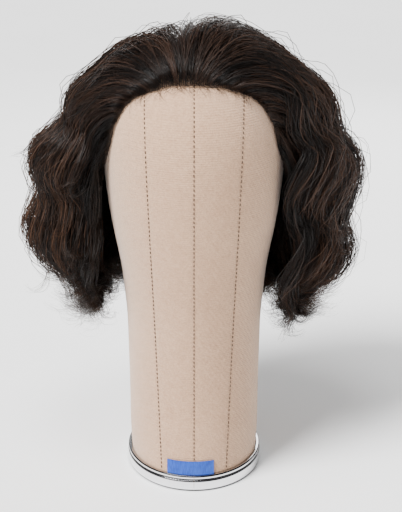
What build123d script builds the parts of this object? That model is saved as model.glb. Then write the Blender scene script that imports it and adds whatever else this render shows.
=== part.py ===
from build123d import *
import math
import os

import numpy as np

# A wavy costume wig on the canvas block that holds it.
#
# Millimetres, +Z up. The origin is the centre of the block's socket, at the mouth in the underside of the base.
# -Y is the face side. Left and right are as seen from the front, so right is +X. Azimuth 0 points to the
# face and 90 degrees points to +X.

# ---------------------------------------------------------------- driving dimensions
# Block: height of the section, half-width, and depth to the front and to the back of the axis.
NECK_LEVELS = [
    (0.0, 57.5, 66.0, 66.0),
    (60.0, 58.0, 66.0, 65.0),
    (115.0, 58.5, 68.0, 64.0),
    (165.0, 60.5, 74.0, 67.0),
    (200.0, 65.0, 81.0, 75.0),
    (240.0, 72.5, 88.0, 89.0),
    (270.0, 76.3, 91.5, 98.0),
    (298.0, 77.5, 92.0, 102.0),
]
WIDEST_Z = NECK_LEVELS[-1][0]
DOME_HEIGHT = 80.0
BLOCK_TOP = WIDEST_Z + DOME_HEIGHT
CANVAS = 1.2  # thickness of the cover
COVER_LOW = 2.0
FILLING_GAP = 0.3
PLATE_GAP = 1.2
PLATE_CHAMFER = 1.0

BASE_THICKNESS = 11.0
TRIM_BAND_HEIGHT = 10.0
TRIM_BEAD_HEIGHT = 4.0
SOCKET_RADIUS = 12.5
SOCKET_DEPTH = 80.0
SLEEVE_WALL = 1.5
POST_RADIUS = 22.0
POST_TOP = 150.0
SEAM_X_LOW = 28.0  # side seams of the cover, at the base
SEAM_X_HIGH = 41.0  # and at the crown
SEAM_GAP = 0.3  # between the ends of the trim, at the front
BAND_LOW, BAND_INNER, BAND_OUTER, BAND_ROUNDING = 0.6, 0.9, 3.2, 0.9
BEAD_LOW, BEAD_INNER, BEAD_OUTER, BEAD_ROUNDING = 10.8, 0.3, 2.9, 1.2
TAG_WIDTH, TAG_LOW, TAG_HIGH, TAG_INNER, TAG_OUTER = 41.0, 15.2, 28.0, 0.4, 1.4
TAG_X = -3.0
TACKS, TACK_Z = 10, 6.0
TACK_HEAD_RADIUS, TACK_HEAD, TACK_RADIUS, TACK_LENGTH = 2.6, 0.7, 0.8, 7.0
SCREW_RADIUS, SCREW_LENGTH, SCREW_HEAD_RADIUS, SCREW_HEAD, SCREW_ROOM = 1.9, 30.0, 4.2, 2.6, 0.05
SCREW_PLACES = [(-34.0, -36.0), (34.0, -36.0), (-34.0, 36.0), (34.0, 36.0)]

# Wig: layers over the block, as distances from the canvas.
CAP_INNER, CAP_OUTER = 1.1, 2.2
TRACK_INNER, TRACK_OUTER = 2.5, 3.6  # edge ribbon, stays
ELASTIC_INNER, ELASTIC_OUTER = 3.9, 4.7
HAIR_INNER = 5.5
HAIR_INNER_LOW = 15.0  # the hair hangs further off the neck at its ends
FRONT_ROOM = 0.5  # below the widest level a layer's front and back stand this much further out
BACK_ROOM = 0.04  # for each millimetre of height, so that the wig lifts off freely
HAIR_LEVELS = [
    (140.0, 108.0, 34.0, 118.0),
    (165.0, 126.0, 44.0, 138.0),
    (200.0, 143.0, 50.0, 149.0),
    (240.0, 143.0, 54.0, 152.0),
    (280.0, 141.0, 60.0, 150.0),
    (307.0, 131.0, 66.0, 143.0),
    (334.0, 114.0, 72.0, 126.0),
    (361.0, 89.0, 70.0, 100.0),
    (376.0, 71.0, 58.0, 77.0),
    (390.0, 48.0, 40.0, 51.0),
    (398.0, 25.0, 21.0, 26.0),
    (400.0, 9.0, 7.5, 8.5),
]
HAIR_LOW = HAIR_LEVELS[0][0]
PARTING_X = -15.0

# The wig comes off up and back, so that its nape follows the back of the head.
LIFT_TILT = math.radians(20.0)
LIFT_TRAVEL = 260.0
LIFT = (0.0, math.sin(LIFT_TILT), math.cos(LIFT_TILT))

# Side view (y, z) of the cap's edge: hairline, temple, ear tab, round the ear, nape.
HAIRLINE = [(-84.0, 362.0), (-61.0, 358.3), (-59.0, 354.5), (-50.0, 346.0)]
HAIRLINE += [(-46.5, 337.0), (-45.5, 318.0), (-43.0, 304.0), (-35.0, 286.0)]
EAR_TAB = [(-25.0, 262.0), (-22.0, 236.0), (-4.0, 236.0), (0.0, 258.0)]
NAPE = [(14.0, 266.0), (30.0, 258.0), (42.0, 232.0), (56.0, 206.0), (130.0, 200.0)]
HOLLOW_FROM = 262.0  # below this the hair stands off
BODY_STEP = 29.8  # between the levels of the solids, which divide the height up to the widest level
DOME_ANGLES = [0.0, 14.0, 28.0, 42.0, 56.0, 68.0, 78.0, 85.0]
LACE_BACK_Y = -30.0  # the lace front ends here on the crown
CROWN_BACK_Y = 38.0  # and the crown net here
RIBBON_WIDTH = 7.0
WEFT_LEVELS = [221.0 + 18.9 * i for i in range(6)]
WEFT_HEIGHT = 2.6
WEFT_INNER, WEFT_OUTER = 2.9, 3.9
WEFT_FRONT_Y = -7.5
ADJUSTER_AZIMUTH = 148.0
ADJUSTER_SIZE = (14.0, 8.0, 1.4)
ADJUSTER_GAP = 1.2
ADJUSTER_TRAVEL = 12.0
ADJUSTER_ROOM, ADJUSTER_ROOM_HEIGHT = (66.0, 50.0, 112.0), 4.0  # left free by the hair: half-width, y to y
ADJUSTER_CORNER = 2.0
WINDOW_X, WINDOW_WIDTH = 3.0, 2.0  # the slot in an adjuster
HOOK_X, HOOK_WIDTH, HOOK_HEIGHT = 5.0, 3.0, 1.0
NAPE_BAND_LOW, NAPE_BAND_HIGH, NAPE_BAND_FRONT_Y = 208.0, 217.0, 52.0
STAY_FRONT_Y, STAY_BACK_Y, STAY_LOW, STAY_HIGH = -15.5, -10.0, 246.0, 282.0
RIBBON_FRONT_Y, RIBBON_TOP = -26.0, 300.0
TAB_OVER_TEMPLE, TAB_OVER_EAR = 18.0, 6.0  # the ear tab's seam, below the temple and above the ear

# The hair's divisions, and the open side of the face below the hairline.
HAIR_CROWN_Z, HAIR_BACK_Z, HAIR_NAPE_Z, HAIR_BACK_Y = 336.0, 285.0, 195.0, 52.0
FACE_OPEN_TO_Y, FACE_OPEN_TO_Z, FACE_HALF_WIDTH = -44.0, 338.0, 80.0
FACE_SIDE = [(-24.0, 250.0), (-26.0, 200.0), (-20.0, 150.0), (-16.0, 80.0)]

BIG = 500.0
os.makedirs("parts", exist_ok=True)


# ---------------------------------------------------------------- the two outlines
def between(levels, z, column):
    """One column of a table of levels at height z, as a smooth curve through its rows."""
    heights = np.array([row[0] for row in levels])
    values = np.array([row[column] for row in levels])
    slopes = np.gradient(values, heights)
    slopes[0] = 0.0
    if levels is NECK_LEVELS:
        slopes[-1] = 0.0
    z = np.clip(z, heights[0], heights[-1])
    i = np.clip(np.searchsorted(heights, z, side="right") - 1, 0, len(heights) - 2)
    span = heights[i + 1] - heights[i]
    t = (z - heights[i]) / span
    return (
        (2 * t**3 - 3 * t**2 + 1) * values[i]
        + (t**3 - 2 * t**2 + t) * span * slopes[i]
        + (3 * t**2 - 2 * t**3) * values[i + 1]
        + (t**3 - t**2) * span * slopes[i + 1]
    )


def head_size(z, offset):
    """Half-width, front and back of the block's section at height z, moved outwards by offset."""
    rise = np.clip((z - WIDEST_Z) / (DOME_HEIGHT + offset), 0.0, 1.0)
    shrink = math.sqrt(1 - rise**2)
    return [float((between(NECK_LEVELS, z, column) + offset) * shrink) for column in (1, 2, 3)]


def layer_size(z, offset):
    """As head_size, but wide enough below the widest level for the wig to lift off."""
    if z >= WIDEST_Z:
        return head_size(z, offset)
    drop = WIDEST_Z - z
    half_width, front = NECK_LEVELS[-1][1:3]
    back = float(between(NECK_LEVELS, z, 3))
    return [half_width + offset, front + offset + FRONT_ROOM * drop, back + offset + BACK_ROOM * drop]


def hair_hollow_size(z, offset):
    """The hair lies close over the cap and stands further off the neck."""
    low = min(max((HOLLOW_FROM - z) / (HOLLOW_FROM - HAIR_LOW), 0.0), 1.0)
    return layer_size(z, offset + (HAIR_INNER_LOW - offset) * low)


def hair_size(z, offset=0.0):
    return [float(between(HAIR_LEVELS, z, column)) + offset for column in (1, 2, 3)]


# ---------------------------------------------------------------- solids from the outlines
def oval(z, size):
    """The horizontal elliptical face at height z with a half-width, a front and a back."""
    half_width, front, back = size
    return Pos(0, (back - front) / 2, z) * Ellipse(half_width, (front + back) / 2)


def dome_levels(offset):
    """Heights from the base to the crown, closer together as the dome flattens."""
    body = [BODY_STEP * i for i in range(round(WIDEST_Z / BODY_STEP))]
    return body + [WIDEST_Z + (DOME_HEIGHT + offset) * math.sin(math.radians(a)) for a in DOME_ANGLES]


def stack(size, offset):
    """A solid through the sections that size gives at each level of the head."""
    return loft([oval(z, size(z, offset)) for z in dome_levels(offset)])


def head_solid(offset):
    return stack(head_size, offset)


def layer(inner, outer):
    """A shell of the wig that keeps clear of the block along the lift."""
    return stack(layer_size, outer) - stack(layer_size, inner)


def slab(x=(-BIG, BIG), y=(-BIG, BIG), z=(-BIG, BIG)):
    return Pos((x[0] + x[1]) / 2, (y[0] + y[1]) / 2, (z[0] + z[1]) / 2) * Box(x[1] - x[0], y[1] - y[0], z[1] - z[0])


def side_prism(outline, half=BIG / 2):
    """A closed (y, z) outline stretched along X to both sides."""
    face = outline if isinstance(outline, (Face, Sketch)) else yz_face(outline)
    return Pos(-half, 0, 0) * extrude(face, amount=2 * half, dir=(1, 0, 0))


def yz_face(outline):
    return Face(Wire.make_polygon([Vector(0, y, z) for y, z in outline], close=True))


def on_oval(azimuth, z, size, offset=0.0):
    """A frame on a section's edge: X along the edge, Y up, Z outwards."""
    half_width, front, back = size(z, offset)
    half_depth = (front + back) / 2
    here = Vector(half_width * math.sin(azimuth), (back - front) / 2 - half_depth * math.cos(azimuth), z)
    tangent = Vector(half_width * math.cos(azimuth), half_depth * math.sin(azimuth), 0).normalized()
    return Plane(here, x_dir=tangent, z_dir=tangent.cross(Vector(0, 0, 1)))


def save(name, shape):
    solids = shape.solids()
    export_step(solids[0] if len(solids) == 1 else Compound(children=list(solids)), f"parts/{name}.step")


# ---------------------------------------------------------------- block
def tack(azimuth):
    shank = cylinder(TACK_RADIUS, -TACK_LENGTH, 0)
    head = cylinder(TACK_HEAD_RADIUS, 0, TACK_HEAD)
    return on_oval(azimuth, TACK_Z, head_size).location * (head + shank)


def tacks():
    return [tack(2 * math.pi * (i + 0.5) / TACKS) for i in range(TACKS)]


def screw(x, y, grow=0.0):
    """A countersunk screw in the underside of the base, or its hole."""
    bottom = (Align.CENTER, Align.CENTER, Align.MIN)
    head = Cone(SCREW_HEAD_RADIUS + grow, SCREW_RADIUS, SCREW_HEAD, align=bottom)
    return Pos(x, y, 0) * (cylinder(SCREW_RADIUS + grow, 0, SCREW_LENGTH + grow) + head)


def cylinder(radius, low, high):
    return Pos(0, 0, low) * Cylinder(radius, high - low, align=(Align.CENTER, Align.CENTER, Align.MIN))


def build_block():
    fixings = tacks()
    save("cover_tacks", Compound(children=[s for t in fixings for s in t.solids()]))

    cover = head_solid(0.0) - head_solid(-CANVAS) - slab(z=(-BIG, COVER_LOW))
    for t in fixings:
        cover -= t
    lean = math.degrees(math.atan2(SEAM_X_HIGH - SEAM_X_LOW, BLOCK_TOP))
    middle = Rot(0, lean, 0) * slab(x=(-BIG, 0))
    left_of_right_seam = Pos(SEAM_X_LOW, 0, 0) * middle
    right_of_left_seam = mirror(left_of_right_seam, Plane.YZ)
    save("canvas_centre_right", cover & left_of_right_seam & slab(x=(0, BIG)))
    save("canvas_centre_left", cover & right_of_left_seam & slab(x=(-BIG, 0)))
    save("canvas_side_right", cover - left_of_right_seam)
    save("canvas_side_left", cover - right_of_left_seam)

    screws = [screw(x, y) for x, y in SCREW_PLACES]
    save("base_screws", Compound(children=[s.solids()[0] for s in screws]))
    holes = [screw(x, y, SCREW_ROOM) for x, y in SCREW_PLACES]

    plate = extrude(oval(0.0, head_size(0.0, -CANVAS - PLATE_GAP)), amount=BASE_THICKNESS)
    plate = chamfer(plate.edges().group_by(Axis.Z)[0], PLATE_CHAMFER)
    plate -= cylinder(SOCKET_RADIUS + SLEEVE_WALL, -1, BASE_THICKNESS + 1)
    for cut in fixings + holes:
        plate -= cut
    save("base_plate", plate)

    core = head_solid(-CANVAS - FILLING_GAP) - slab(z=(-BIG, BASE_THICKNESS)) - cylinder(POST_RADIUS, 0, POST_TOP)
    for cut in holes:
        core -= cut
    save("block_filling", core)

    post = cylinder(POST_RADIUS, BASE_THICKNESS, POST_TOP)
    post -= cylinder(SOCKET_RADIUS + SLEEVE_WALL, 0, SOCKET_DEPTH)
    save("centre_post", post)
    sleeve = cylinder(SOCKET_RADIUS + SLEEVE_WALL, 0, SOCKET_DEPTH) - cylinder(SOCKET_RADIUS, -1, SOCKET_DEPTH + 1)
    save("socket_sleeve", sleeve)

    joint = slab(x=(-SEAM_GAP / 2, SEAM_GAP / 2), y=(-BIG, 0))
    band = trim(BAND_LOW, TRIM_BAND_HEIGHT, BAND_INNER, BAND_OUTER, BAND_ROUNDING)
    save("trim_band", band - joint)
    bead = trim(BEAD_LOW, TRIM_BEAD_HEIGHT, BEAD_INNER, BEAD_OUTER, BEAD_ROUNDING)
    save("trim_bead", bead - joint)

    tag = trim(TAG_LOW, TAG_HIGH - TAG_LOW, TAG_INNER, TAG_OUTER, 0.0)
    save("blank_tag", tag & slab(x=(TAG_X - TAG_WIDTH / 2, TAG_X + TAG_WIDTH / 2), y=(-BIG, 0)))


def trim(low, height, inner, outer, rounding):
    """A hoop round the foot of the block, with its outer edges rounded."""
    hoop = extrude(oval(low, head_size(0.0, outer)), amount=height)
    if rounding:
        hoop = fillet(hoop.edges().group_by(Axis.Z)[0] + hoop.edges().group_by(Axis.Z)[-1], rounding)
    return hoop - extrude(oval(low - 1, head_size(0.0, inner)), amount=height + 2)


# ---------------------------------------------------------------- wig
def cap_outline():
    """The cap's edge, closed behind and above the head."""
    (front, _), (_, nape) = HAIRLINE[0], NAPE[-1]
    return yz_face(HAIRLINE + EAR_TAB + NAPE + [(BIG / 2, nape), (BIG / 2, BIG), (front, BIG)])


def tab_outline():
    """The ear tab, below the level of the temple."""
    (y0, z0), (y1, z1) = HAIRLINE[-1], EAR_TAB[-1]
    return yz_face([(y0, z0 - TAB_OVER_TEMPLE)] + EAR_TAB[1:3] + [(y1, z1 + TAB_OVER_EAR)])


def weft(z):
    """A sewn track all round the cap at height z."""
    middle = z + WEFT_HEIGHT / 2
    outer = extrude(oval(z, layer_size(middle, WEFT_OUTER)), amount=WEFT_HEIGHT)
    return outer - extrude(oval(z - 1, layer_size(middle, WEFT_INNER)), amount=WEFT_HEIGHT + 2)


def build_cap():
    outline = cap_outline()
    whole = layer(CAP_INNER, CAP_OUTER) & side_prism(outline)
    tabs = side_prism(tab_outline())
    for name, x in (("ear_tab_left", (-BIG, 0)), ("ear_tab_right", (0, BIG))):
        save(name, whole & tabs & slab(x=x))
    net = whole - tabs
    save("lace_front", net & slab(y=(-BIG, LACE_BACK_Y)))
    save("crown_net", net & slab(y=(LACE_BACK_Y, CROWN_BACK_Y)))
    save("back_net", net & slab(y=(CROWN_BACK_Y, BIG)))

    track = layer(TRACK_INNER, TRACK_OUTER)
    inside = offset(outline, amount=-RIBBON_WIDTH)
    hem = side_prism(outline) - side_prism(inside)
    hem &= slab(y=(RIBBON_FRONT_Y, BIG), z=(-BIG, RIBBON_TOP))
    save("edge_ribbon", track & hem)

    inner_outline = offset(outline, amount=-RIBBON_WIDTH - 1.0)
    rows = side_prism(inner_outline) & slab(y=(WEFT_FRONT_Y, BIG))
    for number, z in enumerate(WEFT_LEVELS, 1):
        save(f"weft_row_{number}", weft(z) & rows)

    for name, x in (("tab_stay_left", (-BIG, 0)), ("tab_stay_right", (0, BIG))):
        save(name, track & slab(x=x, y=(STAY_FRONT_Y, STAY_BACK_Y), z=(STAY_LOW, STAY_HIGH)))

    elastic = layer(ELASTIC_INNER, ELASTIC_OUTER)
    save("nape_elastic", elastic & slab(y=(NAPE_BAND_FRONT_Y, BIG), z=(NAPE_BAND_LOW, NAPE_BAND_HIGH)))


def adjuster(side):
    """A flat hook tab that slides along the nape band towards the middle, and the way that it slides."""
    middle = (NAPE_BAND_LOW + NAPE_BAND_HIGH) / 2
    place = on_oval(math.radians(ADJUSTER_AZIMUTH) * side, middle, layer_size, ELASTIC_OUTER + ADJUSTER_GAP)
    length, height, thick = ADJUSTER_SIZE
    tab = Pos(0, 0, thick / 2) * Box(length, height, thick)
    tab = fillet(tab.edges().filter_by(Axis.Z), ADJUSTER_CORNER)
    slot_height = height - 1.5 * ADJUSTER_CORNER
    window = Pos(-WINDOW_X * side, 0, thick / 2) * Box(WINDOW_WIDTH, slot_height, 2 * thick)
    hook = Pos(HOOK_X * side, 0, thick + HOOK_HEIGHT / 2) * Box(HOOK_WIDTH, slot_height, HOOK_HEIGHT)
    return place.location * (tab - window + hook), place.x_dir * side


def build_adjusters():
    for name, side in (("adjuster_right", 1), ("adjuster_left", -1)):
        shape, tangent = adjuster(side)
        save(name, shape)
        print(name, "slides along", tuple(round(c, 5) for c in tangent), "by", ADJUSTER_TRAVEL)


def build_hair():
    envelope = loft([oval(row[0], row[1:]) for row in HAIR_LEVELS])
    hollow = stack(hair_hollow_size, HAIR_INNER)
    (front, brow), below = HAIRLINE[0], FACE_SIDE[-1][1]
    face_side = [(-BIG, below), (-BIG, brow - 1.5), (front, brow + 1.0)] + HAIRLINE[1:] + FACE_SIDE
    hair = envelope - hollow - side_prism(face_side, half=FACE_HALF_WIDTH)
    hair -= slab(y=(-BIG, FACE_OPEN_TO_Y), z=(-BIG, FACE_OPEN_TO_Z))
    half_width, *reach = ADJUSTER_ROOM
    band = (NAPE_BAND_LOW - ADJUSTER_ROOM_HEIGHT, NAPE_BAND_HIGH + ADJUSTER_ROOM_HEIGHT)
    hair -= slab(x=(-half_width, half_width), y=reach, z=band)

    crown = hair & slab(z=(HAIR_CROWN_Z, BIG))
    save("hair_top_left", crown & slab(x=(-BIG, PARTING_X)))
    save("hair_top_right", crown & slab(x=(PARTING_X, BIG)))
    sides = hair & slab(y=(-BIG, HAIR_BACK_Y), z=(0, HAIR_CROWN_Z))
    save("hair_side_left", sides & slab(x=(-BIG, 0)))
    save("hair_side_right", sides & slab(x=(0, BIG)))
    for name, z in (
        ("hair_back_upper", (HAIR_BACK_Z, HAIR_CROWN_Z)),
        ("hair_back_middle", (HAIR_NAPE_Z, HAIR_BACK_Z)),
        ("hair_nape", (0, HAIR_NAPE_Z)),
    ):
        save(name, hair & slab(y=(HAIR_BACK_Y, BIG), z=z))


build_block()
build_cap()
build_adjusters()
build_hair()
print("the wig lifts along", tuple(round(c, 5) for c in LIFT), "by", LIFT_TRAVEL)
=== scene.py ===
"""A wavy brown costume wig on its canvas block: looks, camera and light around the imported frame.

Metres, +Z up, -Y towards the face side. Left and right are as seen from the front, so right is +X.
"""

import math

import bpy
import numpy as np
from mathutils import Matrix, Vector
from mathutils.bvhtree import BVHTree


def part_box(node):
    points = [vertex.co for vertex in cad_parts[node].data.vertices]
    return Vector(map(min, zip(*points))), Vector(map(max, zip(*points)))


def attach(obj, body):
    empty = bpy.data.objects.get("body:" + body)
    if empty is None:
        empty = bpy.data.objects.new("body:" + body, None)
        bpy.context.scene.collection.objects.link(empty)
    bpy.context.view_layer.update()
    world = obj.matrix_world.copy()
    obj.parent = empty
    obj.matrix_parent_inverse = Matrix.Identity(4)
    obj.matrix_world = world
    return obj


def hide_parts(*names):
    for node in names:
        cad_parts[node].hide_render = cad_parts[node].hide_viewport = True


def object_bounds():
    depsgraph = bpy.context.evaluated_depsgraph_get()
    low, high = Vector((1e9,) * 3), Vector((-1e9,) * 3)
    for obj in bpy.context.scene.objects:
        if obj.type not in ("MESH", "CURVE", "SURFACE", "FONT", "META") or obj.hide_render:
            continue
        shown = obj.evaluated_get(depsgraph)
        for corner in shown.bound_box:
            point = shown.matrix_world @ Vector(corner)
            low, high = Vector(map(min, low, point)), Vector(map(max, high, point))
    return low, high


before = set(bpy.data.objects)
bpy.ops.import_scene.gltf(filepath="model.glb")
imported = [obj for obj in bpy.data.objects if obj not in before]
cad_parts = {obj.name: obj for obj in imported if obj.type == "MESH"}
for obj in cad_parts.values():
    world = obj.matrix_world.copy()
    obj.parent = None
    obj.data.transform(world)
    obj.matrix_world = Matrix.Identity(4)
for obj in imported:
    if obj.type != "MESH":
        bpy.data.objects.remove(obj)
CAD_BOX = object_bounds()
MM = 0.001
TAU = 2 * math.pi

HEART = np.array([0.0, 5.0, 290.0]) * MM  # the middle of the head, from where every layer is seen whole
OUTSIDE = 0.3  # rays that look for the block or the cap start this far out
FAR_OUTSIDE = 0.5  # and rays that start beyond the hair
CANVAS_NODES = ["canvas_centre_left", "canvas_centre_right", "canvas_side_left", "canvas_side_right"]
CAP_NODES = ["lace_front", "crown_net", "back_net", "ear_tab_left", "ear_tab_right"]
HAIR_NODES = [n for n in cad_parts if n.startswith("hair_")]

CAMERA_AT = (0.0, -1.0, 0.547)
CAMERA_TILT_DEG = 19.0
CAMERA_LENS = 84.8
CAMERA_SHIFT = (0.0137, -0.0166)


# -------------------------------- helpers
def mesh_object(name, points, faces, smooth=True):
    mesh = bpy.data.meshes.new(name)
    mesh.from_pydata(np.asarray(points, float).tolist(), [], faces)
    mesh.validate()
    if smooth:
        mesh.polygons.foreach_set("use_smooth", [True] * len(mesh.polygons))
    mesh.update()
    obj = bpy.data.objects.new(name, mesh)
    bpy.context.scene.collection.objects.link(obj)
    return obj


def finish_piece(obj, body, material, replaced=()):
    obj.data.materials.append(material)
    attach(obj, body)
    if replaced:
        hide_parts(*replaced)
    return obj


def tree_of(nodes):
    """One BVH of several CAD nodes."""
    points, faces = [], []
    for name in nodes:
        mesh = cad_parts[name].data
        start = len(points)
        points += [v.co.copy() for v in mesh.vertices]
        faces += [[start + i for i in p.vertices] for p in mesh.polygons]
    return BVHTree.FromPolygons(points, faces)


def smooth_step(x, low=0.0, high=1.0):
    t = np.clip((x - low) / (high - low), 0.0, 1.0)
    return t * t * (3 - 2 * t)


def unit(v):
    return v / np.maximum(np.linalg.norm(v, axis=-1, keepdims=True), 1e-12)


def cross_axes(lines):
    """The directions across lines on the head and outwards from it, both square to the lines."""
    along = unit(np.gradient(lines, axis=1))
    across = unit(np.cross(along, unit(lines - HEART)))
    return across, np.cross(across, along)


def read_at(lines, at):
    """The places at these points along each line: 1.5 is halfway from its second point to its third."""
    before = np.minimum(at.astype(int), lines.shape[1] - 2)
    share = (at - before)[..., None]
    rows = np.arange(len(lines))[:, None]
    return lines[rows, before] * (1 - share) + lines[rows, before + 1] * share


# -------------------------------- materials
class Nodes:
    """A material's node tree, with short calls to add and join nodes."""

    def __init__(self, name):
        self.material = bpy.data.materials.new(name)
        self.material.use_nodes = True
        self.tree = self.material.node_tree
        self.shader = self.tree.nodes["Principled BSDF"]

    def add(self, kind, inputs=None, **settings):
        node = self.tree.nodes.new("ShaderNode" + kind)
        for key, value in settings.items():
            setattr(node, key, value)
        for key, value in (inputs or {}).items():
            self.put(node.inputs[key], value)
        return node

    def put(self, socket, value):
        """The socket takes this value, or what another node gives."""
        if isinstance(value, bpy.types.NodeSocket):
            self.tree.links.new(value, socket)
        else:
            socket.default_value = value

    def set(self, **values):
        for key, value in values.items():
            self.shader.inputs[key.replace("_", " ")].default_value = value

    def link(self, socket, name):
        self.tree.links.new(socket, self.shader.inputs[name])

    def place(self):
        return self.add("TexCoord").outputs["Object"]

    def noise(self, scale, detail=3.0, vector=None, roughness=0.5):
        inputs = {"Vector": vector or self.place(), "Scale": scale}
        inputs |= {"Detail": detail, "Roughness": roughness}
        return self.add("TexNoise", inputs).outputs["Fac"]

    def stretched(self, scale):
        return self.add("Mapping", {"Vector": self.place(), "Scale": scale}).outputs["Vector"]

    def ramp(self, value, stops):
        node = self.add("ValToRGB", {"Fac": value})
        elements = node.color_ramp.elements
        while len(elements) < len(stops):
            elements.new(0.5)
        for element, (at, colour) in zip(elements, stops):
            element.position = at
            element.color = (*colour, 1.0)
        return node.outputs["Color"]

    def levels(self, value, low, high, to_low=0.0, to_high=1.0):
        inputs = {"Value": value, "From Min": low, "From Max": high, "To Min": to_low, "To Max": to_high}
        return self.add("MapRange", inputs).outputs["Result"]

    def mix(self, factor, a, b, blend="MIX"):
        node = self.add("Mix", data_type="RGBA", blend_type=blend)
        self.put(node.inputs["Factor"], factor)
        for number, colour in ((6, a), (7, b)):
            self.put(node.inputs[number], (*colour, 1.0) if isinstance(colour, tuple) else colour)
        return node.outputs[2]

    def maths(self, operation, a, b=0.0):
        return self.add("Math", {0: a, 1: b}, operation=operation).outputs[0]

    def bump(self, height, distance, strength):
        inputs = {"Height": height, "Distance": distance, "Strength": strength}
        self.link(self.add("Bump", inputs).outputs["Normal"], "Normal")


def weave(nodes, pitch):
    """Height of a plain weave, from two crossed sets of threads."""
    threads = []
    # the diagonal threads lie wider apart than the level ones
    for direction, wider in (("DIAGONAL", 1.732), ("Z", 1.0)):
        inputs = {"Vector": nodes.place(), "Scale": 1 / (pitch * wider) / TAU}
        inputs |= {"Distortion": 1.2, "Detail": 2.0, "Detail Scale": 2.0}
        threads.append(nodes.add("TexWave", inputs, bands_direction=direction).outputs["Fac"])
    return nodes.maths("ADD", *threads)


CANVAS_BROAD = [(0.3, (0.40, 0.233, 0.138)), (0.5, (0.45, 0.271, 0.164)), (0.72, (0.50, 0.312, 0.194))]
CANVAS_MOTTLED = [(0.3, (0.36, 0.207, 0.121)), (0.7, (0.53, 0.336, 0.214))]
CANVAS_SLUB, CANVAS_PORE = (0.62, 0.408, 0.268), (0.25, 0.142, 0.081)
CANVAS_PITCH = 0.9 * MM


def canvas_material():
    m = Nodes("canvas")
    broad = m.noise(14.0, 3.0)
    mottled = m.noise(170.0, 4.0)
    grain = m.noise(650.0, 2.0)
    fine = m.noise(1300.0, 2.0)
    colour = m.mix(0.35, m.ramp(broad, CANVAS_BROAD), m.ramp(mottled, CANVAS_MOTTLED))
    colour = m.mix(m.levels(grain, 0.35, 0.7, 0.0, 0.5), colour, CANVAS_SLUB)
    colour = m.mix(m.levels(fine, 0.4, 0.7, 0.0, 0.4), colour, CANVAS_PORE)
    m.link(colour, "Base Color")
    m.link(m.levels(mottled, 0.3, 0.7, 0.82, 0.95), "Roughness")
    m.set(Sheen_Weight=0.35, Sheen_Roughness=0.5, Specular_IOR_Level=0.18)
    height = m.maths("MULTIPLY", weave(m, CANVAS_PITCH), 0.6)
    height = m.maths("ADD", height, m.maths("ADD", fine, grain))
    m.bump(height, 0.0003, 0.9)
    return m.material


def thread_material(name, dark, light):
    m = Nodes(name)
    twist = m.noise(900.0, 2.0)
    m.link(m.ramp(twist, [(0.3, dark), (0.7, light)]), "Base Color")
    m.link(m.levels(twist, 0.3, 0.7, 0.6, 0.85), "Roughness")
    m.bump(twist, 0.0001, 0.6)
    return m.material


# painted shadow: the half widths and colour of the dark lines along the band's and the bead's edges
SHADOW_LINE_CORE, SHADOW_LINE_EDGE, SHADOW_LINE_COLOUR = 0.45 * MM, 0.9 * MM, (0.016, 0.016, 0.018)


def chrome_material(name, tint, shadow_lines):
    """Bright chrome, with a painted shadow line at each of the given heights."""
    m = Nodes(name)
    haze = m.noise(60.0, 4.0)
    scratches = m.noise(40.0, 6.0, m.stretched((1.0, 1.0, 60.0)), 0.7)
    colour = m.mix(m.levels(haze, 0.3, 0.75, 0.0, 0.5), tint, tuple(0.9 * c for c in tint))
    height = m.add("SeparateXYZ", {"Vector": m.place()}).outputs["Z"]
    # painted shadow: a dark line at each height, where shade falls at the band's and the bead's edges
    for z in shadow_lines:
        away = m.maths("ABSOLUTE", m.maths("SUBTRACT", height, z))
        colour = m.mix(m.levels(away, SHADOW_LINE_CORE, SHADOW_LINE_EDGE, 1.0, 0.0), colour, SHADOW_LINE_COLOUR)
    m.link(colour, "Base Color")
    m.set(Metallic=1.0)
    m.link(m.levels(scratches, 0.3, 0.8, 0.06, 0.2), "Roughness")
    m.bump(scratches, 0.00002, 0.25)
    return m.material


def satin_material():
    m = Nodes("blue_satin")
    threads = m.noise(1200.0, 2.0, m.stretched((1.0, 1.0, 0.15)))
    broad = m.noise(90.0, 2.0)
    colour = m.ramp(threads, [(0.3, (0.004, 0.030, 0.24)), (0.7, (0.010, 0.070, 0.42))])
    m.link(m.mix(m.levels(broad, 0.4, 0.7, 0.0, 0.25), colour, (0.03, 0.13, 0.55)), "Base Color")
    m.link(m.levels(threads, 0.3, 0.7, 0.32, 0.5), "Roughness")
    m.set(Specular_IOR_Level=0.3)
    m.bump(threads, 0.00008, 0.5)
    return m.material


def cloth_material(name, dark, light, pitch, sheen=0.2):
    m = Nodes(name)
    grain = m.noise(700.0, 3.0)
    m.link(m.ramp(grain, [(0.3, dark), (0.7, light)]), "Base Color")
    m.link(m.levels(grain, 0.3, 0.7, 0.7, 0.9), "Roughness")
    m.set(Sheen_Weight=sheen, Specular_IOR_Level=0.15)
    m.bump(m.maths("ADD", weave(m, pitch), m.maths("MULTIPLY", grain, 0.5)), pitch * 0.3, 0.8)
    return m.material


def wood_material(name, dark, light, stretch):
    m = Nodes(name)
    grain = m.noise(60.0, 6.0, m.stretched(stretch), 0.65)
    pores = m.noise(900.0, 2.0, m.stretched(stretch))
    between = tuple((a + b) / 2 for a, b in zip(dark, light))
    colour = m.ramp(grain, [(0.3, dark), (0.5, between), (0.7, light)])
    m.link(m.mix(m.levels(pores, 0.6, 0.8, 0.0, 0.5), colour, tuple(0.5 * c for c in dark)), "Base Color")
    m.link(m.levels(grain, 0.3, 0.7, 0.5, 0.7), "Roughness")
    m.bump(grain, 0.0002, 0.4)
    return m.material


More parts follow.
